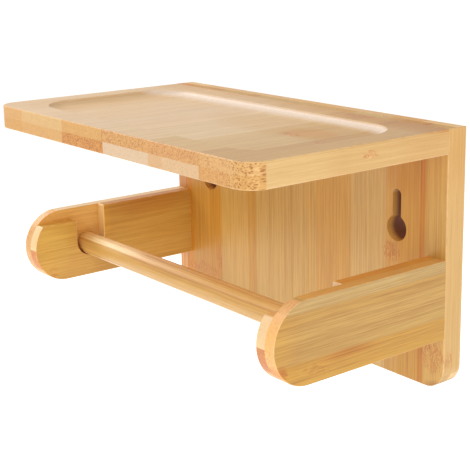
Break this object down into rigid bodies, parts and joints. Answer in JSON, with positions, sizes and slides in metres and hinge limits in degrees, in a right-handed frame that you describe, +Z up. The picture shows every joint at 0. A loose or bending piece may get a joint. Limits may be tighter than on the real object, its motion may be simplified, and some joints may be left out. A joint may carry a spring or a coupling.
{
  "type": "toilet paper holder",
  "caption": "Wall-hung wooden toilet paper holder with a flat tray shelf, round-nosed arms and a lift-off roller in open slots.",
  "frame": {"origin": "middle of the back board's rear face, which lies against the wall", "axes": "+Y into the wall, -Y forward along the arms, +Z up, +X along the roller to the right as seen from the front"},
  "size_m": [0.21, 0.1253, 0.1244],
  "materials": {
    "board_bamboo": "satin lacquer over natural bamboo, grain upright",
    "shelf_bamboo": "satin lacquer over natural bamboo, grain front to back",
    "arm_bamboo": "satin lacquer over natural bamboo, grain along the arm",
    "roller_bamboo": "satin lacquer over natural bamboo, grain along the rod",
    "dowel_wood": "bare wood",
    "screw_steel": "bright zinc plate"
  },
  "bodies": {
    "holder": {"back_board_rear_ply": "board_bamboo", "back_board_front_ply": "board_bamboo", "shelf_lower_ply": "shelf_bamboo", "shelf_upper_ply": "shelf_bamboo", "left_arm_outer_ply": "arm_bamboo", "left_arm_inner_ply": "arm_bamboo", "right_arm_outer_ply": "arm_bamboo", "right_arm_inner_ply": "arm_bamboo", "shelf_screw_1": "screw_steel", "shelf_screw_2": "screw_steel", "shelf_screw_3": "screw_steel", "left_arm_screw_upper": "screw_steel", "left_arm_screw_lower": "screw_steel", "right_arm_screw_upper": "screw_steel", "right_arm_screw_lower": "screw_steel", "shelf_dowel_left": "dowel_wood", "shelf_dowel_right": "dowel_wood", "left_arm_dowel": "dowel_wood", "right_arm_dowel": "dowel_wood"},
    "roller": {"roller": "roller_bamboo"}
  },
  "joints": [
    {"name": "roller_lift", "type": "slide", "parent": "holder", "child": "roller", "axis": [0, 0, 1], "range_m": [0, 0.028]}
  ]
}
